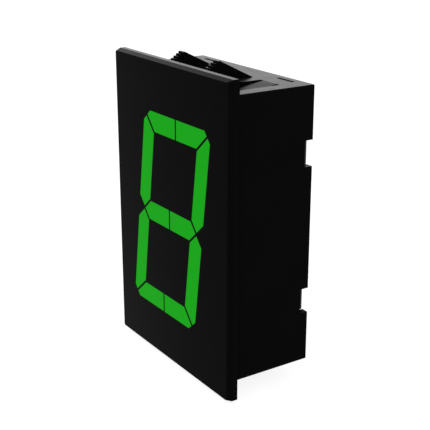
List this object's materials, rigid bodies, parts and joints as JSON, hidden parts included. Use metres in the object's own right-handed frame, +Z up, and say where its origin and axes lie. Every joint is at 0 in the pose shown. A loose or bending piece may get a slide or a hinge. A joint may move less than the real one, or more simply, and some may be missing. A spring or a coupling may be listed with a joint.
{
  "type": "seven segment display",
  "caption": "Black panel-mount display module with a slanted lit digit, a bevelled front plate, snap teeth on spring flaps and rear connectors.",
  "frame": {"origin": "centre of the front plate's rear face, where it seats on the panel", "axes": "+Y to the rear, through the panel; +Z up along the digit; +X to the right as seen from the front"},
  "size_m": [0.1, 0.0539, 0.1532],
  "materials": {
    "housing_plastic": "black moulded plastic with a fine satin grain",
    "lens_plastic": "green diffusing plastic, lit from behind and flush with the face",
    "reflector_plastic": "white moulded plastic, bright inside the troughs",
    "board_laminate": "green solder-masked glass laminate",
    "diode_package": "white package with a clear filled cup",
    "chip_ceramic": "dark glazed chip resistor",
    "chip_resin": "black moulded resin with tinned leads",
    "capacitor_sleeve": "dark shrunk sleeve on an aluminium can",
    "capacitor_ceramic": "tan ceramic",
    "strip_plastic": "black moulded plastic",
    "connector_plastic": "natural off-white moulded plastic",
    "contact_metal": "plated brass pin",
    "screw_steel": "zinc-plated steel"
  },
  "bodies": {
    "root": {"ceramic_capacitors": "capacitor_ceramic", "driver_board": "board_laminate", "driver_chip_lower": "chip_resin", "driver_chip_upper": "chip_resin", "housing": "housing_plastic", "led_board": "board_laminate", "leds_bottom_left": "diode_package", "leds_bottom_right": "diode_package", "leds_lower_left": "diode_package", "leds_lower_right": "diode_package", "leds_middle_left": "diode_package", "leds_middle_right": "diode_package", "leds_top_left": "diode_package", "leds_top_right": "diode_package", "leds_upper_left": "diode_package", "leds_upper_right": "diode_package", "lens_bottom_left": "lens_plastic", "lens_bottom_right": "lens_plastic", "lens_lower_left": "lens_plastic", "lens_lower_right": "lens_plastic", "lens_middle_left": "lens_plastic", "lens_middle_right": "lens_plastic", "lens_top_left": "lens_plastic", "lens_top_right": "lens_plastic", "lens_upper_left": "lens_plastic", "lens_upper_right": "lens_plastic", "light_box": "reflector_plastic", "light_box_screws": "screw_steel", "link_bar_left": "strip_plastic", "link_bar_right": "strip_plastic", "link_pins_left": "contact_metal", "link_pins_right": "contact_metal", "link_port_lower_left": "strip_plastic", "link_port_lower_right": "strip_plastic", "link_port_pins": "contact_metal", "link_port_upper_left": "strip_plastic", "link_port_upper_right": "strip_plastic", "link_socket_left": "strip_plastic", "link_socket_right": "strip_plastic", "power_connector": "connector_plastic", "power_pins": "contact_metal", "regulator_chip": "chip_resin", "segment_resistors": "chip_ceramic", "signal_connector": "strip_plastic", "signal_pins": "contact_metal", "smoothing_capacitor": "capacitor_sleeve"}
  },
  "joints": []
}
